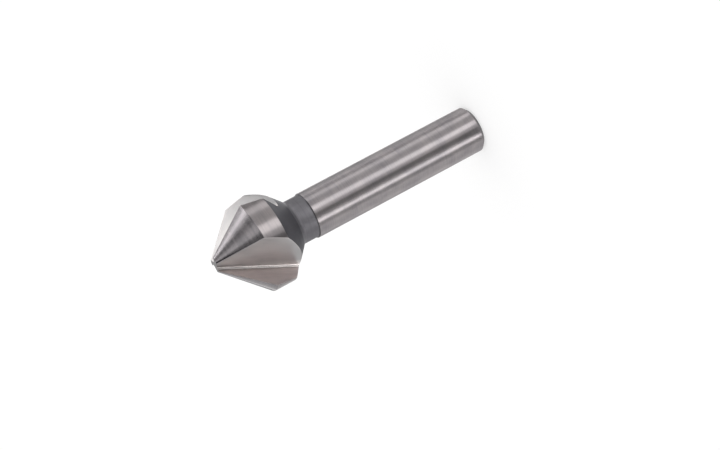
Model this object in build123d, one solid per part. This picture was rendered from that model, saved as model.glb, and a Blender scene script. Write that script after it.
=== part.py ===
from build123d import *
from math import atan2, cos, radians, sin, tan
import os

# A three-flute countersink, ground from one bar of tool steel. Millimetres and degrees.
# The centre of the shank's end face is the origin, and +Z runs up the tool to its tip.
# Seen from the tip the tool turns counter-clockwise: it cuts to the right.

# ---- Overall sizes ----
overall_length = 63.0
shank_diameter = 10.0
shank_end_chamfer = 0.75
head_diameter = 20.5

# ---- Head profile ----
point_angle = 90.0        # included angle of the cutting cone
tip_diameter = 3.5        # small flat left at the point
margin_length = 4.6       # cylindrical band behind the cone
back_slope = 46.0         # slope of the back cone, from the axis
neck_length = 3.3         # straight neck between the back cone and the shoulder
neck_undercut = 0.25      # how far the neck lies below the shank's surface
neck_corner_radius = 0.8  # round between the neck and the back cone

# ---- Flutes and lands ----
flute_count = 3
first_root_angle = 180.0  # turn of the first flute's root line, from +X
land_angle = 50.5         # part of the turn that a land fills at the head's corner
rake_lead_angle = 20.0    # how far a cutting edge stands ahead of its flute's root line
web_diameter = 1.3        # web between the root lines, at the tip
root_slope = 25.25        # slope of a root line, from the axis
root_radius = 0.5         # round in the bottom of a flute
relief_drop = 0.2         # how far a land's heel falls below its cutting edge

# ---- Cutter allowances ----
overcut = 1.0             # how far a cutting tool reaches past the stock

# ---- Worked-out sizes ----
shank_radius = shank_diameter / 2
head_radius = head_diameter / 2
tip_radius = tip_diameter / 2
web_radius = web_diameter / 2
neck_radius = shank_radius - neck_undercut
flute_pitch = 360.0 / flute_count
flute_angle = flute_pitch - land_angle
cone_height = (head_radius - tip_radius) / tan(radians(point_angle / 2))
corner_z = overall_length - cone_height
margin_back_z = corner_z - margin_length
neck_top_z = margin_back_z - (head_radius - neck_radius) / tan(radians(back_slope))
neck_foot_z = neck_top_z - neck_length
shank_top_z = neck_foot_z - neck_undercut


def turned_blank():
    """The bar after turning: shank, shoulder, neck, back cone and a plain cylindrical head."""
    outline = Polyline(
        (0, 0),
        (shank_radius - shank_end_chamfer, 0),
        (shank_radius, shank_end_chamfer),
        (shank_radius, shank_top_z),
        (neck_radius, neck_foot_z),
        (neck_radius, neck_top_z),
        (head_radius, margin_back_z),
        (head_radius, overall_length),
        (0, overall_length),
        close=True,
    )
    section = make_face(outline)
    neck_corner = section.vertices().sort_by_distance((neck_radius, neck_top_z, 0))[0]
    section = fillet(neck_corner, radius=neck_corner_radius)
    return revolve(Plane.XZ * section, axis=Axis.Z)


def cone_cutter(edge_angle):
    """What is ground off one land to make its share of the cone.

    The land's cone keeps its slope, but its axis is set off to one side. Its radius then
    falls evenly from the cutting edge to the heel, which clears the hole behind the edge.
    """
    half_land = radians(land_angle / 2)
    offset = relief_drop / (2 * sin(half_land))
    offset_angle = edge_angle + 90 - land_angle / 2
    slope = tan(radians(point_angle / 2))
    height = cone_height + overcut
    top_radius = tip_radius - relief_drop / 2
    ground_cone = Cone(
        bottom_radius=top_radius + height * slope,
        top_radius=top_radius,
        height=height,
        align=(Align.CENTER, Align.CENTER, Align.MIN),
    )
    around_land = Cylinder(
        radius=head_radius + overcut,
        height=height + overcut,
        arc_size=flute_pitch,
        align=(Align.NONE, Align.NONE, Align.MIN),
    )
    start_z = overall_length - height
    sector_start = edge_angle - land_angle - flute_angle / 2
    sector = Pos(0, 0, start_z) * Rot(0, 0, sector_start) * around_land
    cone = Rot(0, 0, offset_angle) * Pos(offset, 0, start_z) * ground_cone
    return sector - cone


def wall_angle(corner_angle):
    """Angle in the flute's cross-section from straight out of the root line to a corner of a land.

    corner_angle is how far that corner stands ahead of the root line, about the tool's axis.
    """
    lean = radians(root_slope)
    out = head_radius * cos(radians(corner_angle)) - web_radius
    across = head_radius * sin(radians(corner_angle))
    return atan2(across, out * cos(lean) - cone_height * sin(lean))


def flute_cutter(root_angle):
    """A long V with a rounded bottom, laid along the flute's sloping root line.

    One wall passes through the cutting edge behind it, the other through the next land's heel.
    """
    reach = 1.5 * head_diameter
    rake_wall = wall_angle(rake_lead_angle)
    heel_wall = wall_angle(rake_lead_angle + flute_angle)
    v_shape = make_face(
        Polyline(
            (0, 0),
            (reach * cos(rake_wall), reach * sin(rake_wall)),
            (reach * cos(heel_wall), reach * sin(heel_wall)),
            close=True,
        )
    )
    bottom = v_shape.vertices().sort_by_distance((0, 0, 0))[0]
    v_shape = fillet(bottom, radius=root_radius)
    lean = radians(root_slope)
    start_radius = head_radius + overcut
    root_length = (start_radius - web_radius) / sin(lean)
    start_z = overall_length - root_length * cos(lean)
    cross_section = Plane(
        origin=(start_radius, 0, start_z),
        x_dir=(cos(lean), 0, sin(lean)),
        z_dir=(-sin(lean), 0, cos(lean)),
    )
    cutter = extrude(cross_section * v_shape, amount=root_length + head_diameter)
    return Rot(0, 0, root_angle) * cutter


def countersink_bit():
    """The finished tool: the turned blank, with each land's cone and each flute ground in turn."""
    bit = turned_blank()
    for step in range(flute_count):
        root_angle = first_root_angle + step * flute_pitch
        bit -= cone_cutter(root_angle + rake_lead_angle)
    for step in range(flute_count):
        root_angle = first_root_angle + step * flute_pitch
        bit -= flute_cutter(root_angle)
    return bit


bit = countersink_bit()
os.makedirs("parts", exist_ok=True)
export_step(bit, "parts/countersink_bit.step")
print("cone", round(cone_height, 2), "high, shank", round(shank_top_z, 2), "long")
print("solids", len(bit.solids()), "volume", round(bit.volume, 1))
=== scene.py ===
# %% [markdown]
# # A three-flute countersink bit
# A countersink cuts the cone-shaped seat for a screw head at the mouth of a hole. This lesson builds
# the looks of one that is ground from a single bar of tool steel. It has a round shank for the
# chuck, a short dark neck, and a cutting head whose cone is divided by three flutes. The tool stands
# on its shank end with the tip up.
#
# The imported CAD model is loaded first, as a frame that nothing here may move. Every length is in
# metres in that frame, and MM turns the millimetres of a drawing into metres.

# %% Load the frame
from math import atan2, cos, degrees, hypot, pi, radians, sin, tan

import bmesh
import bpy
from mathutils import Matrix, Vector
from mathutils.bvhtree import BVHTree


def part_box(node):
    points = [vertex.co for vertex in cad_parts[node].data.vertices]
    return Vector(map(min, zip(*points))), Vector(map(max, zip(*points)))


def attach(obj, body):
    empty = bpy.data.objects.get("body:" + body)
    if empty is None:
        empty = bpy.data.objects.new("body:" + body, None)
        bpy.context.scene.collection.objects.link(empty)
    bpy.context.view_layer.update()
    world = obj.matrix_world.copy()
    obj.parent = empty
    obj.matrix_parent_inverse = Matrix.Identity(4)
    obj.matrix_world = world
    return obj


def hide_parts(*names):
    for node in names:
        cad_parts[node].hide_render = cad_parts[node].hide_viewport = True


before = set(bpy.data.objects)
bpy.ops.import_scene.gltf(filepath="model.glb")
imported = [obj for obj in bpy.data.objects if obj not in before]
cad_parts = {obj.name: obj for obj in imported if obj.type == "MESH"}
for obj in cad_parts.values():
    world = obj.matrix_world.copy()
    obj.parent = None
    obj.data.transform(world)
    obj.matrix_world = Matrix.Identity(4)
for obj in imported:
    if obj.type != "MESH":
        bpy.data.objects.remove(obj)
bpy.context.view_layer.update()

MM = 0.001
print("nodes in the frame:", list(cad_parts))

# %% [markdown]
# ## Sizes
# A maker thinks of this tool in a handful of numbers. Two of them can be read from the frame: the
# length is the height of the node's box, and the head's radius is how far the box reaches to the
# side that a land's full radius points to. The others repeat the driving sizes of the CAD model, so
# that the finished skin lies on the CAD solid.

# %% Sizes that are turned on the lathe
bit_low, bit_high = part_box("countersink_bit")
overall_length = bit_high[2] - bit_low[2]
head_radius = -bit_low[0]

shank_radius = 5.0 * MM
shank_end_chamfer = 0.75 * MM
tip_radius = 1.75 * MM
margin_length = 4.6 * MM
back_slope = radians(46.0)
neck_length = 3.3 * MM
neck_undercut = 0.25 * MM
neck_corner_radius = 0.8 * MM
print("length", round(overall_length / MM, 2), "mm, head", round(2 * head_radius / MM, 2), "mm")

# %% Sizes that are ground
flute_count = 3
first_root_angle = radians(180.0)
land_angle = radians(50.5)
rake_lead = radians(20.0)
web_radius = 0.65 * MM
root_slope = radians(25.25)
root_round = 0.5 * MM
relief_drop = 0.2 * MM
pitch = 2 * pi / flute_count
print("from one flute to the next:", round(degrees(pitch), 1), "degrees")

# %% [markdown]
# ## Heights on the bar
# The turner marks a few heights on the bar, and all of them follow from the sizes. The cone has a
# point angle of 90 degrees, so it is as high as its radius grows. The margin, the back cone and the
# neck follow below it, and the shank is what is left. The heights are worked out, not typed in, so
# the outline stays closed when a size changes.

# %% Heights that follow from the sizes
tip_z = overall_length
corner_z = tip_z - (head_radius - tip_radius)
margin_back_z = corner_z - margin_length
neck_radius = shank_radius - neck_undercut
neck_top_z = margin_back_z - (head_radius - neck_radius) / tan(back_slope)
neck_foot_z = neck_top_z - neck_length
shank_top_z = neck_foot_z - neck_undercut
print("the cone starts at", round(corner_z / MM, 2), "mm, the shank ends at",
      round(shank_top_z / MM, 2), "mm")

# %% [markdown]
# ## The relief of the cone
# Behind its cutting edge a land has to fall away, or it would rub and not cut. The grinder does this
# by setting the cone's axis off to one side for each land. Seen from above, the land is then part of
# a slightly shifted circle, so one cosine says how its radius changes with the turn. The turn is
# counted about the tool's axis, from the root line of the flute that the cutting edge looks into.

# %% How the radius falls behind a cutting edge
relief_offset = relief_drop / (2 * sin(land_angle / 2))
relief_turn = rake_lead + pi / 2 - land_angle / 2


def relief(turn):
    """The change of the cone's radius: 0 at the cutting edge, minus the whole drop at the heel."""
    return relief_offset * cos(turn - relief_turn) - relief_drop / 2


print("change at the heel:", round(relief(rake_lead - land_angle) / MM, 3), "mm")

# %% [markdown]
# ## The outline of a land
# A land is the part of the head between two flutes. From the tip down it is a cone, a short cylinder
# called the margin, and a back cone. The three could be cut out of a cylinder with booleans, but a
# formula for the radius at any height gives clean rows of faces. The smallest of the three radii
# counts, and a minimum with a small round lets the corners catch the light as ground corners do.

# %% The radius of a land at any height
edge_softness = 0.07 * MM


def smooth_min(a, b, width):
    """The smaller of a and b, with the corner between them rounded over the given width."""
    mix = min(1.0, max(0.0, 0.5 + 0.5 * (b - a) / width))
    return b + (a - b) * mix - width * mix * (1 - mix)


def land_radius(z, turn):
    """The radius of the land at height z and at this turn."""
    cone = tip_radius + relief(turn) + tip_z - z
    back = head_radius - (margin_back_z - z) * tan(back_slope)
    return smooth_min(smooth_min(cone, head_radius, edge_softness), back, edge_softness)


margin_middle_z = corner_z - margin_length / 2
print("radius of the margin:", round(land_radius(margin_middle_z, 0) / MM, 3), "mm")

# %% [markdown]
# ## The groove of a flute
# A flute is one pass of a shaped grinding wheel along a straight root line that slopes out from the
# tip. Its cross-section is a V with a rounded bottom. One wall, the rake face, goes to the cutting
# edge, and the other goes to the heel of the next land. The section is written as one curve: a
# distance along it gives a point. Zero is the middle of the bottom, and positive is the rake face.

# %% Directions of the two walls
def wall_direction(corner_turn):
    """Direction in the section of the wall that passes through a land's corner at this turn."""
    out = head_radius * cos(corner_turn) - web_radius
    across = head_radius * sin(corner_turn)
    return atan2(across, out * cos(root_slope) - (tip_z - corner_z) * sin(root_slope))


rake_wall = wall_direction(rake_lead)
back_wall = wall_direction(rake_lead + pitch - land_angle)
print("walls at", round(degrees(rake_wall), 1), "and", round(degrees(back_wall), 1), "degrees")

# %% The cross-section as a curve
half_opening = (back_wall - rake_wall) / 2
middle = (back_wall + rake_wall) / 2
round_start = root_round / tan(half_opening)
round_centre = root_round / sin(half_opening)
half_round = root_round * (pi / 2 - half_opening)


def section_point(s):
    """Out and across of the groove's section, at distance s along it from its bottom."""
    if abs(s) <= half_round:
        angle = middle + pi + s / root_round
        return (round_centre * cos(middle) + root_round * cos(angle),
                round_centre * sin(middle) + root_round * sin(angle))
    wall = rake_wall if s > 0 else back_wall
    along = round_start + abs(s) - half_round
    return along * cos(wall), along * sin(wall)


def groove_point(s, z):
    """The same point where the groove passes height z, about the tool's axis."""
    out, across = section_point(s)
    return web_radius + (tip_z - z) * tan(root_slope) + out / cos(root_slope), across


print("the rounded bottom is", round(2 * half_round / MM, 2), "mm wide along the curve")

# %% [markdown]
# ## Where the groove meets the land
# At each height the groove's curve crosses the outline of the land twice: at the cutting edge and at
# the heel. Both crossings are found by halving an interval, because the formulas are simple to
# evaluate and awkward to solve. The search reaches 14 mm along each wall, which is always outside
# the head. Low on the back cone the two crossings meet, and the flute ends.

# %% Find a place by halving
def halve(test, low, high, steps=44):
    """The place between low and high where test changes from true to false."""
    for _ in range(steps):
        centre = (low + high) / 2
        if test(centre):
            low = centre
        else:
            high = centre
    return low


print("a third, found by halving:", round(halve(lambda share: share < 1 / 3, 0, 1), 6))

# %% Find the cutting edge, the heel and the flute's end
section_reach = 14.0 * MM


def inside_land(s, z, land=0):
    """Whether a point of the groove's curve lies inside this land's outline, or the next one's."""
    x, y = groove_point(s, z)
    return hypot(x, y) < land_radius(z, atan2(y, x) - land * pitch)


def deepest(z, steps=70):
    """Where the groove's curve comes nearest to the tool's axis, found by cutting off thirds."""
    low, high = -section_reach, section_reach
    for _ in range(steps):
        cut = (high - low) / 3
        if hypot(*groove_point(low + cut, z)) < hypot(*groove_point(high - cut, z)):
            high -= cut
        else:
            low += cut
    return (low + high) / 2


def crossings(z_edge, z_heel):
    """Where the curve meets the cutting edge and the next land's heel."""
    start = deepest(z_edge)
    edge = halve(lambda s: inside_land(s, z_edge), start, section_reach)
    heel = halve(lambda s: inside_land(s, z_heel, land=1), start, -section_reach)
    return edge, heel


flute_end_z = halve(lambda z: inside_land(deepest(z), z), corner_z, neck_top_z)
print("the flutes run out at", round(flute_end_z / MM, 3), "mm")

# %% [markdown]
# ## Columns: once round a third of the tool
# The tool repeats three times, so only a third is made: a land, and the groove ahead of its cutting
# edge. It is drawn as a grid. Its columns run down the tool, and each keeps to one feature: the
# rounded heel, the land, the rounded cutting edge, the rake face, the groove's bottom or the back
# wall. A boolean would leave long thin triangles along these edges, and light shows them as streaks.
# The groove's columns draw together where it runs out, and below that only the land's are left.

# %% How many columns each feature gets
land_steps = 46
edge_steps = 4
rake_steps = 9
round_steps = 12
back_steps = 12


def shares(steps, start=0):
    """Equal shares of the way from 0 to 1."""
    return [step / steps for step in range(start, steps + 1)]


features = {
    "heel": shares(edge_steps),
    "land": shares(land_steps, 1)[:-1],
    "edge": shares(edge_steps),
    "rake": shares(rake_steps, 1),
    "round": shares(round_steps, 1),
    "back": shares(back_steps, 1),
}
columns = [(kind, share) for kind, steps in features.items() for share in steps]
print("columns in a third:", len(columns))

# %% [markdown]
# ## One row of the grid
# A row goes once round the third. No real edge is perfectly sharp, so the cutting edge and the heel
# are each bent over 0.05 mm. Each point carries two more numbers besides its place. One is its
# distance along the groove's curve, which the grinding lines will follow. The other is its gap to
# the nearest edge: on a land that is the heel, and in the groove the nearer of its two edges. The
# finishes use it for the rims beside the edges.

# %% Helpers for points
def bend(a, corner, b, share):
    """A point of the curve that rounds a corner between a and b."""
    return tuple((1 - share) ** 2 * p + 2 * share * (1 - share) * q + share ** 2 * r
                 for p, q, r in zip(a, corner, b))


def turned(point, angle):
    """A point of a horizontal section, turned about the tool's axis."""
    x, y = point
    return x * cos(angle) - y * sin(angle), x * sin(angle) + y * cos(angle)


print("half way round a square corner:", bend((0, 1), (1, 1), (1, 0), 0.5))

# %% Where a column of the groove lies
def groove_distance(kind, share, edge, heel):
    """Distance along the groove's curve for one of its columns."""
    if kind == "rake":
        return half_round + (1 - share) * (edge - half_round) if edge > half_round else edge
    if kind == "round":
        return min(edge, half_round * (1 - 2 * share))
    start = min(edge, -half_round)
    return start + share * (heel - start)


print("the groove's bottom is at", groove_distance("round", 0.5, section_reach, -section_reach))

# %% One row of points
edge_width = 0.05 * MM


def row_points(heights):
    """One row's points from each column's own height: each is x, y, z, its distance and its gap."""
    z_heel, z_edge = heights[0], heights[2 * edge_steps + land_steps]
    edge, heel = crossings(z_edge, z_heel)
    width = min(edge_width, (edge - heel) / 4)
    heel_corner = turned(groove_point(heel, z_heel), -pitch)
    heel_wall = turned(groove_point(heel + width, z_heel), -pitch)
    edge_corner = groove_point(edge, z_edge)
    edge_wall = groove_point(edge - width, z_edge)
    first = atan2(heel_corner[1], heel_corner[0]) + width / hypot(*heel_corner)
    last = atan2(edge_corner[1], edge_corner[0]) - width / hypot(*edge_corner)

    def on_land(turn, z):
        radius = land_radius(z, turn)
        return radius * cos(turn), radius * sin(turn)

    points = []
    for (kind, share), z in zip(columns, heights):
        s, gap = edge - width, 0.0
        if kind == "heel":
            x, y = bend(heel_wall, heel_corner, on_land(first, z), share)
        elif kind == "edge":
            x, y = bend(on_land(last, z), edge_corner, edge_wall, share)
        elif kind == "land":
            x, y = on_land(first + share * (last - first), z)
            gap = share * (last - first) * hypot(x, y)
        else:
            s = groove_distance(kind, share, edge - width, heel + width)
            x, y = groove_point(s, z)
            gap = min(edge - width - s, s - heel - width)
        points.append((x, y, z, s, gap))
    return points


middle_row = row_points([margin_middle_z] * len(columns))
widest = max(gap for *_, gap in middle_row)
print("widest gap to an edge on the margin:", round(widest / MM, 2), "mm")

# %% [markdown]
# ## Rows: down the head
# The rows crowd together at the corners, where the outline turns, and towards the run-out of the
# groove, where its end curves quickly. Even rows would need many times the faces for the same
# edges. The soft offsets say where the rows at a corner lie, in parts of the edge's softness. The
# corner between the cone and the margin falls a little from the cutting edge to the heel, because
# of the relief, so each column has its own list of heights.

# %% Heights of the rows in the head
soft_offsets = [1.0, 0.65, 0.4, 0.2, 0.0, -0.2, -0.4, -0.65, -1.0]
tip_softness = 0.04 * MM
cone_rows = 34
margin_rows = 10
run_out_rows = 26


def corner_shift(kind, share):
    """How far below the cutting edge's corner this column's corner lies."""
    if kind in ("edge", "rake", "round"):
        return 0.0
    if kind == "heel":
        return relief_drop
    if kind == "back":
        return relief_drop * share
    return -relief(rake_lead - land_angle * (1 - share))


def head_heights(kind, share):
    """The heights of one column's points, from the tip down to where the groove ends."""
    corner = corner_z - corner_shift(kind, share)
    heights = [tip_z, tip_z - tip_softness]
    top, foot = tip_z - tip_softness, corner + edge_softness
    heights += [top + (foot - top) * step for step in shares(cone_rows, 1)[:-1]]
    heights += [corner + offset * edge_softness for offset in soft_offsets]
    top, foot = corner - edge_softness, margin_back_z + edge_softness
    heights += [top + (foot - top) * step for step in shares(margin_rows, 1)[:-1]]
    heights += [margin_back_z + offset * edge_softness for offset in soft_offsets]
    top = margin_back_z - edge_softness
    heights += [top + (flute_end_z - top) * step * (2 - step) for step in shares(run_out_rows, 1)]
    return heights


head_columns = [head_heights(kind, share) for kind, share in columns]
print("rows in the head:", len(head_columns[0]))

# %% The head's rows, with the rim of its flat tip drawn in
head_rows = [row_points(heights) for heights in zip(*head_columns)]
tip_inset = 1 - tip_softness / tip_radius
head_rows[0] = [(x * tip_inset, y * tip_inset, tip_z, s, gap) for x, y, z, s, gap in head_rows[1]]
end_turn = atan2(head_rows[-1][-1][1], head_rows[-1][-1][0])
print("the flute ends", round(degrees(end_turn), 1), "degrees past its root line")

# %% [markdown]
# ## Rows: the turned stem
# Below the flutes everything is round, as it left the lathe and the cylindrical grinder. The outline
# is a short list of corners, with one true arc between the neck and the back cone. A lathe modifier
# could spin it, but the stem has to share its points with the head, so it continues the same grid.
# Each corner is bent over a few hundredths of a millimetre, as a real edge is.

# %% Helpers for the outline
stem_softness = 0.04 * MM


def stretch(a, b, steps):
    """Points from a to b, without a itself."""
    return [tuple(p + (q - p) * step for p, q in zip(a, b)) for step in shares(steps, 1)]


def softened(before, corner, after, steps=4):
    """The points that round one corner of the outline."""
    ends = []
    for other in (before, after):
        length = hypot(other[0] - corner[0], other[1] - corner[1])
        ends.append(tuple(p + (q - p) * stem_softness / length for p, q in zip(corner, other)))
    return [bend(ends[0], corner, ends[1], share) for share in shares(steps)]


print("from 0 to 1 in two steps:", stretch((0.0,), (1.0,), 2))

# %% The corners of the outline, as radius and height
fillet_steps = 8
fillet_z = neck_top_z - neck_corner_radius * tan(back_slope / 2)
fillet_arc = [
    (neck_radius + neck_corner_radius * (1 - cos(back_slope * step)),
     fillet_z + neck_corner_radius * sin(back_slope * step))
    for step in reversed(shares(fillet_steps))
]
run_out = (land_radius(flute_end_z, 0), flute_end_z)
neck_foot = (neck_radius, neck_foot_z)
shank_top = (shank_radius, shank_top_z)
shank_foot = (shank_radius, shank_end_chamfer)
end_rim = (shank_radius - shank_end_chamfer, 0.0)
end_centre = (0.0, 0.0)
last_ring = (0.3 * MM, 0.0)
print("the neck's corner is rounded from", round(fillet_z / MM, 2), "mm up")

# %% The outline with its finishes, from the flutes' end down to the shank's end
slope_steps, dark_slope_steps = 12, 9
neck_steps, shoulder_steps, shank_steps, chamfer_steps, end_steps = 8, 3, 24, 3, 5

slope = stretch(run_out, fillet_arc[0], slope_steps)[:-1]
neck_end = softened(fillet_arc[-1], neck_foot, shank_top)
shoulder_end = softened(neck_foot, shank_top, shank_foot)
shank_end = softened(shank_top, shank_foot, end_rim)
rim = softened(shank_foot, end_rim, end_centre)
shank = stretch(shoulder_end[-1], shank_end[0], shank_steps)
parts = [
    ("back cone", slope[:dark_slope_steps]),
    ("neck", slope[dark_slope_steps:] + fillet_arc),
    ("neck", stretch(fillet_arc[-1], neck_end[0], neck_steps) + neck_end[1:]),
    ("shoulder", stretch(neck_end[-1], shoulder_end[0], shoulder_steps)),
    ("shank", shoulder_end[1:] + shank + shank_end[1:3]),
    ("chamfer", shank_end[3:] + stretch(shank_end[-1], rim[0], chamfer_steps) + rim[1:3]),
    ("end", rim[3:] + stretch(rim[-1], last_ring, end_steps)),
]
stem = [(name, point) for name, part in parts for point in part]
print("rows in the stem:", len(stem))

# %% Rows of the stem, on the same columns
far_from_edges = 5 * MM


def stem_row(radius, z):
    """A third of a circle on the land's columns; the groove's columns all stand at its end."""
    points = []
    for kind, share in columns:
        if kind == "land":
            turn = end_turn - pitch * (1 - share)
        else:
            turn = end_turn - (pitch if kind == "heel" else 0)
        points.append((radius * cos(turn), radius * sin(turn), z, 0.0, far_from_edges))
    return points


head_rows[-1] = stem_row(*run_out)
grid = head_rows + [stem_row(*point) for name, point in stem]
print("grid:", len(grid), "rows of", len(columns), "points")

# %% [markdown]
# ## Which finish goes where
# One bar of steel has many finishes, because each surface was made in its own way. Each face of the
# grid gets the number of its finish from its column in the groove and from its row elsewhere. This
# is easier to keep right than picking faces by their place after the mesh is made.

# %% The finish of each row and column
finishes = ["cone", "margin", "rake", "flute", "root", "back cone", "neck", "shoulder", "shank",
            "chamfer", "end", "tip"]
groove_finish = {"rake": "rake", "round": "root", "back": "flute"}

cone_last = 1 + cone_rows + len(soft_offsets) // 2
margin_last = cone_last + len(soft_offsets) + margin_rows - 1
stem_start = len(head_rows) - 1
row_finish = ["cone"] * cone_last + ["margin"] * (margin_last - cone_last)
row_finish += ["back cone"] * (stem_start - len(row_finish))
row_finish += [name for name, point in stem]
print("finishes:", len(finishes), "on", len(row_finish), "rows")

# %% [markdown]
# ## The grinding map
# Every surface carries the marks of the wheel or the cutter that made it: round the cone, margin,
# neck and shank, and lengthwise in the flutes. A UV map called grind keeps to them. Its first number
# counts millimetres along the marks and its second counts millimetres across them. A usual unwrap
# would scatter the surfaces over an image, but these finishes use no image. They need to know which
# way the marks run, to stretch their fine lines and their reflections the right way.

# %% Millimetres along and across the marks
land_column = edge_steps + land_steps // 2
land_line = [(hypot(*row[land_column][:2]), row[land_column][2]) for row in grid]
down_outline = [0.0]
for (r0, z0), (r1, z1) in zip(land_line, land_line[1:]):
    down_outline.append(down_outline[-1] + hypot(r1 - r0, z1 - z0))


def grind_place(finish, row, column):
    """Where a point of the grid lies on the grinding map."""
    x, y, z, s, gap = grid[row][column]
    if finish in groove_finish.values():
        along = (tip_z - z) * cos(root_slope) + (x - web_radius) * sin(root_slope)
        return along / MM, s / MM
    if finish in ("tip", "end"):
        return x / MM, y / MM
    turn = atan2(y, x)
    if turn > end_turn + 1e-6:
        turn -= 2 * pi
    return turn * shank_radius / MM, down_outline[row] / MM


print("down the outline, from the tip to the last ring:", round(down_outline[-1] / MM, 1), "mm")

# %% [markdown]
# ## Build the third as a mesh
# The grid becomes a mesh with bmesh, which can store a finish number on each face, a map place on
# each corner and an edge gap on each point while the faces are made. Where columns have drawn
# together their points coincide, so doubles are merged and the faces that shrank to lines dissolved.

# %% Points and faces that carry their numbers
bm = bmesh.new()
finish_of = bm.faces.layers.int.new("finish")
grind = bm.loops.layers.uv.new("grind")
edge_gap = bm.verts.layers.float.new("edge_gap")


def add_point(place, gap=far_from_edges):
    """A point that carries its gap to the nearest edge, in millimetres."""
    made = bm.verts.new(place)
    made[edge_gap] = gap / MM
    return made


def add_face(finish, corners):
    """A smooth face with its finish, from pairs of a point and its place on the grinding map."""
    face = bm.faces.new([point for point, place in corners])
    face[finish_of] = finishes.index(finish)
    face.smooth = True
    for loop, (point, place) in zip(face.loops, corners):
        loop[grind].uv = place


points = [[add_point((x, y, z), gap) for x, y, z, s, gap in row] for row in grid]
print("points in the grid:", len(bm.verts))

# %% Faces between the rows and the columns
for row in range(len(grid) - 1):
    for column in range(len(columns) - 1):
        kind = columns[column + 1][0]
        if kind in groove_finish and row >= stem_start:
            continue
        finish = groove_finish.get(kind, row_finish[row])
        places = [(row, column), (row + 1, column), (row + 1, column + 1), (row, column + 1)]
        add_face(finish, [(points[r][c], grind_place(finish, r, c)) for r, c in places])
print("faces of the skin:", len(bm.faces))

# %% Close the tip and the shank's end
tip_rim = [(points[0][c], grind_place("tip", 0, c)) for c in range(len(columns))]
add_face("tip", [(add_point((0, 0, tip_z)), (0, 0))] + tip_rim)

foot = len(grid) - 1
foot_centre = (add_point((0, 0, 0)), (0, 0))
for column in range(len(columns) - 1):
    if columns[column + 1][0] not in groove_finish:
        pair = [(points[foot][c], grind_place("end", foot, c)) for c in (column + 1, column)]
        add_face("end", [foot_centre] + pair)
print("faces with both ends:", len(bm.faces))

# %% Merge what has drawn together
merge_distance = 0.0002 * MM
bmesh.ops.remove_doubles(bm, verts=bm.verts, dist=merge_distance)
bmesh.ops.dissolve_degenerate(bm, edges=bm.edges, dist=merge_distance)
bmesh.ops.triangulate(bm, faces=[face for face in bm.faces if len(face.verts) > 4])
third_mesh = bpy.data.meshes.new("third of the tool")
bm.to_mesh(third_mesh)
bm.free()


def into_scene(name, data):
    """A new object in the scene."""
    made = bpy.data.objects.new(name, data)
    bpy.context.scene.collection.objects.link(made)
    return made


third = into_scene("third", third_mesh)
print("faces in the third:", len(third_mesh.polygons))

# %% [markdown]
# ## Finishes: ground steel
# Tool steel that has been ground is a metal mirror full of fine parallel scratches. Seen across the
# scratches a reflection is smeared out, and along them it stays sharp, so a round bar shows long
# stripes. Painted stripes would be wrong from every other side. Instead each finish is a metal whose
# reflection is stretched across the grinding lines, which Blender calls anisotropic. First come a
# few helpers, because node trees repeat the same few lines of script many times.

# %% Small helpers for node trees
def feed(tree, value, socket):
    """Links a socket to another node's output, or sets it to a plain value."""
    if isinstance(value, bpy.types.NodeSocket):
        tree.links.new(value, socket)
    else:
        socket.default_value = value


def node(tree, kind, sockets=None, **settings):
    """A new node: its settings are made first, and then its sockets are fed."""
    made = tree.nodes.new(kind)
    for name, value in settings.items():
        setattr(made, name, value)
    for name, value in (sockets or {}).items():
        feed(tree, value, made.inputs[name])
    return made


def maths(tree, operation, *values):
    """The result of a Math node, from numbers or other nodes' outputs."""
    return node(tree, "ShaderNodeMath", dict(enumerate(values)), operation=operation).outputs[0]


def spread(tree, value, low, high, start=0.3, end=0.7):
    """Maps a value between start and end to the range from low to high, and stops at its ends."""
    limits = {"From Min": start, "From Max": end, "To Min": low, "To Max": high}
    return node(tree, "ShaderNodeMapRange", {"Value": value, **limits}).outputs["Result"]


print("helpers: feed, node, maths and spread")

# %% [markdown]
# ## Lines and clouds
# Two noises make the steel's surface. The first is squeezed to fine lines along the marks. On turned
# faces a mark stays at one height of the tool, so the lines are read from the object's own
# coordinates. In the flutes they follow the grinding map, and each flute gets its own slice of the
# noise, because three identical flutes would look stamped. The second noise is a soft cloud, since
# no ground surface is equally bright all over. Lengths in the finishes are in plain millimetres.

# %% Noise along the marks, and a cloud
line_length = 6.0
line_detail, line_roughness = 3.0, 0.6
flute_slice = 7.3
cloud_scale, cloud_detail = 260.0, 3.0


def grinding_lines(tree, turned_face, lines_per_mm):
    """Noise drawn out along the grinding marks, from 0 to 1."""
    slice_of_noise = 0.0
    if turned_face:
        place = node(tree, "ShaderNodeTexCoord").outputs["Object"]
        squeeze = (1 / (line_length * MM), 1 / (line_length * MM), lines_per_mm / MM)
    else:
        place = node(tree, "ShaderNodeUVMap", uv_map="grind").outputs["UV"]
        squeeze = (1 / line_length, lines_per_mm, 1)
        flute_number = node(tree, "ShaderNodeAttribute", attribute_name="third").outputs["Fac"]
        slice_of_noise = maths(tree, "MULTIPLY", flute_number, flute_slice)
    squeezed = node(tree, "ShaderNodeMapping", {"Vector": place, "Scale": squeeze})
    lines = node(tree, "ShaderNodeTexNoise", noise_dimensions="4D", sockets={
        "Vector": squeezed.outputs["Vector"], "W": slice_of_noise, "Scale": 1.0,
        "Detail": line_detail, "Roughness": line_roughness})
    return lines.outputs["Fac"]


def cloud(tree):
    """Soft patches a few millimetres wide, from 0 to 1."""
    place = node(tree, "ShaderNodeTexCoord").outputs["Object"]
    settings = {"Vector": place, "Scale": cloud_scale, "Detail": cloud_detail}
    return node(tree, "ShaderNodeTexNoise", settings).outputs["Fac"]


print("patches are about", round(1 / cloud_scale / MM, 1), "mm wide")

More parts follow.
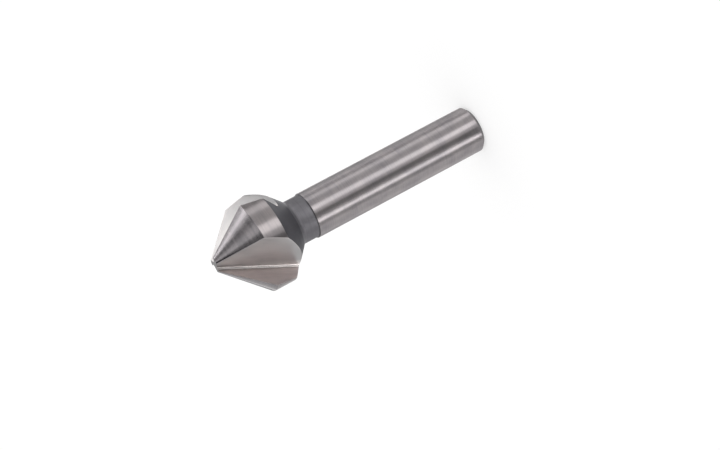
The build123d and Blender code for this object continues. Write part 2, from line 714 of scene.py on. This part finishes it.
# %% [markdown]
# ## One kind of metal for every finish
# All the finishes share one recipe: a metal with two tints mixed by the lines and the cloud, a range
# of roughness that the lines choose from, a shallow bump, and a stretched reflection. Only the
# numbers differ. The stretch needs a direction, and the tangent of the grinding map gives it. A
# quarter turn lays it across the marks.

# %% The recipe
line_height = 0.004 * MM
across_the_marks = 0.25
mottle_start, mottle_end = 0.75, 1.25


def tint_over(tree, under, tint, factor):
    """A tint over a colour where factor is 1; each is three plain numbers or a node's output."""
    under, tint = [(*colour, 1) if isinstance(colour, tuple) else colour
                   for colour in (under, tint)]
    settings = {"A": under, "B": tint, "Factor": factor}
    return node(tree, "ShaderNodeMix", settings, data_type="RGBA").outputs["Result"]


def steel(name, tint, light_tint, roughness, stretched, turned_face=True, lines_per_mm=5.0,
          bump=0.3):
    """A metal with two tints, a range of roughness, and lines and reflections along its marks."""
    material = bpy.data.materials.new(name)
    material.use_nodes = True
    tree = material.node_tree
    lines = grinding_lines(tree, turned_face, lines_per_mm)
    mottle = maths(tree, "ADD", cloud(tree), lines)
    mottle = spread(tree, mottle, 0.0, 1.0, mottle_start, mottle_end)
    scratches = node(tree, "ShaderNodeBump",
                     {"Height": lines, "Strength": bump, "Distance": line_height})
    looks = {"Metallic": 1.0,
             "Anisotropic": stretched,
             "Anisotropic Rotation": across_the_marks,
             "Roughness": spread(tree, lines, *roughness),
             "Base Color": tint_over(tree, tint, light_tint, mottle),
             "Normal": scratches.outputs["Normal"]}
    if stretched:
        along = node(tree, "ShaderNodeTangent", direction_type="UV_MAP", uv_map="grind")
        looks["Tangent"] = along.outputs["Tangent"]
    for socket, value in looks.items():
        feed(tree, value, tree.nodes["Principled BSDF"].inputs[socket])
    return material


print("bump of the lines:", round(line_height / MM, 4), "mm")

# %% [markdown]
# ## Finishes of the turned faces
# The shank is ground between centres and has the strongest stretch. The cone and the margin are
# finished with a finer wheel, so they are smoother, and they look darker. The neck and the back cone
# were never ground: they keep the dark skin that hardening left, which is rough and has no stretch.
# The back cone is the darker of the two.

# %% Steels with marks round the tool
steels = {
    "cone": steel("ground cone", (0.24, 0.227, 0.237), (0.33, 0.306, 0.315), (0.17, 0.23), 0.85),
    "margin": steel("ground margin", (0.24, 0.223, 0.227), (0.32, 0.291, 0.289), (0.28, 0.34), 0.9),
    "back cone": steel("dark back cone", (0.073, 0.072, 0.08), (0.102, 0.1, 0.11), (0.45, 0.6),
                       0.0, bump=0.5),
    "neck": steel("dark neck", (0.135, 0.131, 0.142), (0.197, 0.192, 0.204), (0.45, 0.6),
                  0.0, bump=0.5),
    "shoulder": steel("dark shoulder", (0.1, 0.098, 0.104), (0.12, 0.118, 0.122), (0.4, 0.5), 0.0),
    "shank": steel("ground shank", (0.285, 0.267, 0.28), (0.41, 0.378, 0.381), (0.35, 0.45), 1.0),
    "chamfer": steel("turned chamfer", (0.19, 0.182, 0.187), (0.22, 0.208, 0.21), (0.4, 0.5), 0.3),
    "end": steel("turned end", (0.25, 0.24, 0.245), (0.28, 0.265, 0.265), (0.4, 0.5), 0.3, False),
    "tip": steel("flat tip", (0.15, 0.146, 0.15), (0.175, 0.169, 0.171), (0.3, 0.4), 0.3, False),
}
print("made:", ", ".join(material.name for material in steels.values()))

# %% [markdown]
# ## Finishes of the flutes
# The wheel that grinds a flute is coarser and runs lengthwise, so its lines follow the grinding map.
# The rake face has a warm tone beside the cooler back wall. The narrow rounded bottom is its
# own finish, so that it stays a thin line from every side. It carries the painted highlight laid on
# below.

# %% Steels with marks along the flutes
# The root's finish takes a painted highlight towards the mouth, in the cells below.
for finish, name, tint, light_tint, roughness in (
        ("rake", "ground rake face", (0.412, 0.36, 0.355), (0.52, 0.444, 0.427), (0.28, 0.38)),
        ("flute", "ground flute", (0.38, 0.37, 0.372), (0.47, 0.451, 0.445), (0.28, 0.38)),
        ("root", "root with painted highlight", (0.27, 0.253, 0.248), (0.31, 0.288, 0.28), (0.24, 0.32))):
    steels[finish] = steel(name, tint, light_tint, roughness, 0.6, False, lines_per_mm=4.0)
print("finishes without a steel:", [name for name in finishes if name not in steels])

# %% [markdown]
# ## A painted highlight towards the mouth of a flute
# A painted highlight lies along each flute's root line. The root is dull at the tip and painted
# bright at the mouth, and the walls beside it are painted brighter too, while the back wall's own
# far end is a little darker. Each change is a tint laid over the finish. Its place is read from the
# height and from the grinding map, so it stays put when the tool is turned.

# %% Lay a tint over a finish
def lay_tint(material, tint, factor):
    """Lays a tint over a finish's colour where factor is 1."""
    tree = material.node_tree
    base_colour = tree.nodes["Principled BSDF"].inputs["Base Color"]
    under = base_colour.links[0].from_socket
    feed(tree, tint_over(tree, under, tint, factor), base_colour)


print("a tint goes over what feeds the base colour")

# %% Say where a tint lies
mouth = 15.4
root_band, root_fade = 0.6, 2.0


def down_the_tool(tree, start, end):
    """0 at start and 1 at end, in millimetres below the tip."""
    place = node(tree, "ShaderNodeTexCoord").outputs["Object"]
    height = node(tree, "ShaderNodeSeparateXYZ", {"Vector": place}).outputs["Z"]
    return spread(tree, height, 0.0, 1.0, tip_z - start * MM, tip_z - end * MM)


def beside_the_root(tree):
    """1 beside a flute's root line and 0 away from it."""
    place = node(tree, "ShaderNodeUVMap", uv_map="grind").outputs["UV"]
    across = node(tree, "ShaderNodeSeparateXYZ", {"Vector": place}).outputs["Y"]
    return spread(tree, maths(tree, "ABSOLUTE", across), 1.0, 0.0, root_band, root_fade)


print("the mouth of a flute is", mouth, "mm below the tip")

# %% Paint a highlight at the mouth of the flutes
def paint_highlight_at_mouth(material, tint, start):
    """Paints a highlight on a flute's finish beside its root, from start millimetres below the tip.
    """
    tree = material.node_tree
    factor = maths(tree, "MULTIPLY", down_the_tool(tree, start, mouth), beside_the_root(tree))
    lay_tint(material, tint, factor)


# The back wall's colour is a little darker from 9 mm below the tip down to the mouth.
back_end = down_the_tool(steels["flute"].node_tree, 9.0, mouth)
lay_tint(steels["flute"], (0.325, 0.317, 0.32), back_end)
# Painted highlight: the flute wall, the rake face and the root line brighten beside the root.
paint_highlight_at_mouth(steels["flute"], (0.59, 0.565, 0.555), start=5.0)
paint_highlight_at_mouth(steels["rake"], (0.53, 0.468, 0.46), start=8.0)
paint_highlight_at_mouth(steels["root"], (0.66, 0.615, 0.6), start=0.0)
print("brightened: flute, rake and root")

# %% [markdown]
# ## Painted highlight and shade beside the edges
# Along the cutting edge and the heel the flute's walls have a thin painted highlight, lighter than
# the face beside it. On the cone a band of painted shade runs beside the heel, and it is darkest at
# the tip. A line of even width would look drawn, so the cloud makes its limit ragged. The gap that
# each point of the mesh carries tells the finish how far the edge is.

# %% Lay the painted highlight and shade beside the edges
painted_glint_width = 0.14
painted_shade_width = 0.34


def near_an_edge(tree, width):
    """1 at a ground edge and 0 past about width millimetres from it, with a ragged limit."""
    gap = node(tree, "ShaderNodeAttribute", attribute_name="edge_gap").outputs["Fac"]
    ragged = maths(tree, "MULTIPLY_ADD", cloud(tree), 2 * width, gap)
    return spread(tree, ragged, 1.0, 0.0, 1.4 * width, 2.2 * width)


# Painted highlight: a thin bright rim on the flute walls along the cutting edge and the heel.
for name, tint in (("rake", (0.54, 0.5, 0.49)), ("flute", (0.54, 0.51, 0.505))):
    lay_tint(steels[name], tint, near_an_edge(steels[name].node_tree, painted_glint_width))

# Painted shade: a dark band on the cone beside the heel, darkest near the tip.
cone_tree = steels["cone"].node_tree
heel_shade_tint = tint_over(cone_tree, (0.11, 0.104, 0.11), (0.31, 0.292, 0.302),
                      down_the_tool(cone_tree, 2.0, 6.0))
lay_tint(steels["cone"], heel_shade_tint, near_an_edge(cone_tree, painted_shade_width))
print("rims:", painted_glint_width, "mm in the flutes and", painted_shade_width, "mm at the heels")

# %% [markdown]
# ## Three thirds make the tool
# The flutes stand at equal turns, so the whole tool is one third set down three times. Copying in a
# loop would work, but a Geometry Nodes tree keeps the rule in one place: it turns the copies by
# equal steps, numbers them, and welds their seams into one closed skin. It then gives each face the
# finish that its number names. Its inputs are the third, the number of flutes, the first turn and
# the weld distance.

# %% Set down the thirds
def set_down_thirds(tree, given):
    """The third set down once for each flute and welded into one skin."""
    index = node(tree, "GeometryNodeInputIndex").outputs["Index"]
    step = maths(tree, "DIVIDE", 2 * pi, given["Flutes"])
    turn = maths(tree, "MULTIPLY_ADD", index, step, given["First turn"])
    rotation = node(tree, "ShaderNodeCombineXYZ", {"Z": turn})
    starts = node(tree, "GeometryNodePoints", {"Count": given["Flutes"]})
    copies = node(tree, "GeometryNodeInstanceOnPoints", {
        "Points": starts.outputs["Points"], "Instance": given["Third"],
        "Rotation": rotation.outputs["Vector"]})
    numbered = node(tree, "GeometryNodeStoreNamedAttribute", data_type="FLOAT", domain="INSTANCE",
                    sockets={"Geometry": copies.outputs["Instances"], "Name": "third",
                             "Value": index})
    real = node(tree, "GeometryNodeRealizeInstances", {"Geometry": numbered.outputs["Geometry"]})
    weld = node(tree, "GeometryNodeMergeByDistance", {
        "Geometry": real.outputs["Geometry"], "Distance": given["Weld distance"]})
    return weld.outputs["Geometry"]


print("copies to set down:", flute_count)

# %% Give each face its finish
def give_finishes(tree, skin):
    """Each face of the skin gets the steel that its finish number names."""
    finish = node(tree, "GeometryNodeInputNamedAttribute", {"Name": "finish"}, data_type="INT")
    for number, name in enumerate(finishes):
        same = node(tree, "FunctionNodeCompare", data_type="INT", operation="EQUAL",
                    sockets={2: finish.outputs["Attribute"], 3: number})
        skin = node(tree, "GeometryNodeSetMaterial", {
            "Geometry": skin, "Selection": same.outputs["Result"],
            "Material": steels[name]}).outputs["Geometry"]
    return skin


thirds_tree = bpy.data.node_groups.new("thirds of a tool", "GeometryNodeTree")
for name, kind in (("Third", "Geometry"), ("Flutes", "Int"), ("First turn", "Float"),
                   ("Weld distance", "Float")):
    thirds_tree.interface.new_socket(name, in_out="INPUT", socket_type="NodeSocket" + kind)
thirds_tree.interface.new_socket("Tool", in_out="OUTPUT", socket_type="NodeSocketGeometry")
skin = set_down_thirds(thirds_tree, node(thirds_tree, "NodeGroupInput").outputs)
node(thirds_tree, "NodeGroupOutput", {"Tool": give_finishes(thirds_tree, skin)})
print("nodes in the tree:", len(thirds_tree.nodes))

# %% [markdown]
# ## Run the tree
# The modifier's inputs are set by their identifiers before the object is first evaluated. Its result
# is kept as a plain mesh, because an export can't read a live tree. Edges that turn by more than 14
# degrees are marked sharp, so that smooth shading doesn't smear light across a ground edge. The
# steps of the turned rounds turn by less, and stay smooth.

# %% Keep the result as a plain mesh
sharp_turn = radians(14)
third_mesh.materials.append(steels[finishes[0]])
repeat = third.modifiers.new("repeat", "NODES")
repeat.node_group = thirds_tree
tree_inputs = {"Flutes": flute_count, "First turn": first_root_angle,
               "Weld distance": merge_distance}
for socket in thirds_tree.interface.items_tree:
    if socket.item_type == "SOCKET" and socket.name in tree_inputs:
        repeat[socket.identifier] = tree_inputs[socket.name]

depsgraph = bpy.context.evaluated_depsgraph_get()
tool_mesh = bpy.data.meshes.new_from_object(third.evaluated_get(depsgraph))
tool_mesh.name = "countersink"
tool_mesh.set_sharp_from_angle(angle=sharp_turn)
bpy.data.objects.remove(third)
tool = into_scene("countersink", tool_mesh)
triangles = sum(len(face.vertices) - 2 for face in tool_mesh.polygons)
print("triangles:", triangles, "materials:", len(tool_mesh.materials))

# %% [markdown]
# ## Measure the skin against the CAD solid
# The skin was worked out from formulas, so it is checked against the solid that it stands for. For
# each of its points the nearest place on the CAD node is found. The largest gap lies at the rounded
# edges, which the CAD solid leaves sharp, and should stay within a few hundredths of a millimetre.

# %% The largest gap
depsgraph = bpy.context.evaluated_depsgraph_get()
cad_skin = BVHTree.FromObject(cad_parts["countersink_bit"], depsgraph)
gaps = [cad_skin.find_nearest(vert.co)[3] for vert in tool_mesh.vertices]
print("largest gap to the CAD skin:", round(max(gaps) / MM, 4), "mm")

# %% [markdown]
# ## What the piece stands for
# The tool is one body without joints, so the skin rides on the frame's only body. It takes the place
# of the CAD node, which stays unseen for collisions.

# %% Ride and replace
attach(tool, "root")
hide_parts("countersink_bit")
print(tool.name, "rides on root and stands for countersink_bit")

# %% [markdown]
# ## Camera
# The camera stands about 0.4 m away, 19 degrees above level, and looks through a long lens, so that
# the tool isn't distorted. It is rolled, so that the upright tool lies across the view with its tip
# at the lower left. Its directions are worked out from the turn, height and roll, because they are
# easier to think about than the three angles of a rotation.

# %% Camera
camera_turn = radians(-91.0)
camera_height = radians(19.1)
camera_roll = radians(118.35)
camera_distance = 411.2 * MM
aim = Vector((-6.69, 0.13, 32.09)) * MM

toward = Vector((cos(camera_height) * cos(camera_turn),
                 cos(camera_height) * sin(camera_turn),
                 sin(camera_height)))
level_right = Vector((0, 0, 1)).cross(toward).normalized()
level_up = toward.cross(level_right)
up = level_up * cos(camera_roll) + level_right * sin(camera_roll)
right = up.cross(toward)
facing = Matrix((right, up, toward)).transposed().to_4x4()

camera_data = bpy.data.cameras.new("camera")
camera_data.lens = 100.8
camera_data.sensor_width = 36.0
camera_data.clip_start = 0.01
camera_data.clip_end = 50.0
camera = into_scene("camera", camera_data)
camera.matrix_world = Matrix.Translation(aim + toward * camera_distance) @ facing
bpy.context.scene.camera = camera
bpy.context.scene.view_settings.view_transform = "Standard"
print("camera at", [round(value / MM) for value in aim + toward * camera_distance], "mm")

# %% [markdown]
# ## Floor
# The tool stands on a plain white floor. White paper under an even sky still darkens where the tool
# keeps the light off it. So the floor has a grey paint, which takes the tool's shadow, and a glow,
# which only the camera and reflections see. The glow lifts the grey to white and lights nothing.

# %% Floor
half_floor = 4.0
corners = [(-half_floor, -half_floor, 0), (half_floor, -half_floor, 0),
           (half_floor, half_floor, 0), (-half_floor, half_floor, 0)]
floor_mesh = bpy.data.meshes.new("floor")
floor_mesh.from_pydata(corners, [], [(0, 1, 2, 3)])
floor = into_scene("floor", floor_mesh)
print("floor:", 2 * half_floor, "m across")

# %% White paper that keeps a shadow
paper_grey = 0.45
paper_glow = 0.58


def bare_material(name):
    """A material without nodes."""
    material = bpy.data.materials.new(name)
    material.use_nodes = True
    material.node_tree.nodes.clear()
    return material


paper = bare_material("white paper")
tree = paper.node_tree
rays = node(tree, "ShaderNodeLightPath").outputs
seen = rays["Is Camera Ray"]
for ray in ("Is Glossy Ray", "Is Transmission Ray"):
    seen = maths(tree, "MAXIMUM", seen, rays[ray])
strength = maths(tree, "MULTIPLY", seen, paper_glow)
glow = node(tree, "ShaderNodeEmission", {"Color": (1, 1, 1, 1), "Strength": strength})
paint = node(tree, "ShaderNodeBsdfDiffuse", {"Color": (paper_grey, paper_grey, paper_grey, 1)})
both = node(tree, "ShaderNodeAddShader", {0: paint.outputs[0], 1: glow.outputs[0]})
node(tree, "ShaderNodeOutputMaterial", {"Surface": both.outputs[0]})
floor_mesh.materials.append(paper)
print("paper:", paper_grey, "grey with a glow of", paper_glow)

# %% [markdown]
# ## Daylight
# The light is an even white sky at a strength of 1, at which a colour renders about as it is
# written. Lamps would put hard highlights on the ground steel, and a soft even sky has none.

# %% Even sky
world = bpy.data.worlds.new("even sky")
world.use_nodes = True
sky = world.node_tree.nodes["Background"].inputs
sky["Color"].default_value = (1, 1, 1, 1)
sky["Strength"].default_value = 1.0
bpy.context.scene.world = world
print("strength of the sky:", sky["Strength"].default_value)

# %% [markdown]
# ## Cards round the tool
# Bright metal shows whatever stands round it, so under an even sky it looks like flat grey paint. In
# a studio, strips of white and dark card stand round such a tool, and its stripes are their
# reflections. Here a card is a bent sheet between two turns and two heights. Some start at the
# tool's foot and run out along the floor before they rise, because the shank mirrors the floor near
# its foot. The others hang in the air.
#
# A mirror faces half way between the eye and what it shows, so each line of a card starts at the
# place on the shank that shows it, at half its turn. Only reflections see the cards, and they light
# nothing. A tone of 1 is as bright as the sky.

# %% The profile of a card
card_radius = 190 * MM
card_start = 1.5 * MM
card_lift = 0.1 * MM
head_middle_z = 55 * MM
floor_steps, rise_steps, turn_steps = 6, 8, 6


def card_profile(low, high):
    """Distances from the axis and heights of a card; low of None starts it on the floor."""
    profile = []
    if low is None:
        reach = card_radius - card_start
        profile = [(card_start + reach * share, card_lift) for share in shares(floor_steps)]
        low = degrees(atan2(-head_middle_z, card_radius))
    for share in shares(rise_steps):
        rise = radians(low + (high - low) * share)
        height = max(card_lift, head_middle_z + card_radius * sin(rise))
        profile.append((card_radius * cos(rise), height))
    return profile


print("rows of a card:", len(card_profile(0, 30)), "in the air,", len(card_profile(None, 30)),
      "from the floor")

# %% The sheet of a card
def card_mesh(name, start, end, profile):
    """The sheet of a card between two turns from the camera's side."""
    points = []
    for reach, z in profile:
        for share in shares(turn_steps):
            turn = radians(start + (end - start) * share)
            x, y = turned((reach, 0), turn)
            foot_x, foot_y = turned((shank_radius, 0), turn / 2)
            points.append((*turned((x + foot_x, y + foot_y), camera_turn), z))
    across = turn_steps + 1
    quads = [(row + column, row + column + 1, row + across + column + 1, row + across + column)
             for row in range(0, across * (len(profile) - 1), across)
             for column in range(turn_steps)]
    mesh = bpy.data.meshes.new(name)
    mesh.from_pydata(points, [], quads)
    return mesh


print("a sheet is", turn_steps, "faces wide")

# %% A card that only reflections see
def card(name, start, end, low, high, tone):
    """A card between two turns and two heights in degrees, with its tone."""
    mesh = card_mesh(name, start, end, card_profile(low, high))
    material = bare_material(name)
    tree = material.node_tree
    shine = node(tree, "ShaderNodeEmission", {"Color": (tone, tone, tone, 1)})
    node(tree, "ShaderNodeOutputMaterial", {"Surface": shine.outputs[0]})
    material.cycles.emission_sampling = "NONE"
    mesh.materials.append(material)
    made = into_scene(name, mesh)
    for ray in ("camera", "diffuse", "transmission", "volume_scatter", "shadow"):
        setattr(made, "visible_" + ray, False)
    return made


print("cards stand", round(card_radius / MM), "mm from the tool")

# %% [markdown]
# ## Setting out the cards
# Left and right are as the camera sees them. The shank and the margin mirror the cards in front and
# at the sides, the cone mirrors what hangs high over the left, and the far flute mirrors the low
# left. The cards at the back give the tool its stripes from the other sides. Dark and bright stand
# next to each other, because a stripe needs an edge.

# %% Cards in front and at the sides
cards = [
    card("bright_front_left", 8, 29, None, 32, 2.4),
    card("grey_left", 31, 60, None, 12, 0.8),
    card("bright_left", 63, 80, None, 32, 1.7),
    card("dark_far_left", 82, 101, None, 4, 0.5),
    card("dark_front", -35, -7, None, 24, 0.26),
    card("bright_front_right", -54.5, -43, None, 30, 3.4),
    card("dark_right", -76, -59, None, 1, 0.38),
    card("bright_over_right", -84, -59, 3, 11, 2.2),
    card("dark_over_right", -78, -57, 13, 34, 0.25),
    card("dark_far_right", -133, -113, 6, 34, 0.25),
    card("bright_far_right", -133, -113, -13, 3, 1.6),
]
print("cards in front and at the sides:", len(cards))

# %% Cards for the cone and the far flute, and behind
cards += [
    card("dark_over_front", -25, 27, 52, 89, 0.14),
    card("dark_over_left", 61, 92, 34, 80, 0.28),
    card("bright_over_left", 96, 104, 28, 62, 4.2),
    card("bright_low_left", 98, 118, 10, 27, 3.5),
    card("dark_low_left", 101, 120, -4, 9, 0.2),
    card("dark_back_left", 134, 149, None, 30, 0.35),
    card("bright_back_left", 153, 169, None, 30, 2.0),
    card("dark_back", 172, 198, None, 8, 0.35),
    card("grey_back_right", 206, 226, None, 30, 0.7),
]
print("cards in all:", len(cards))
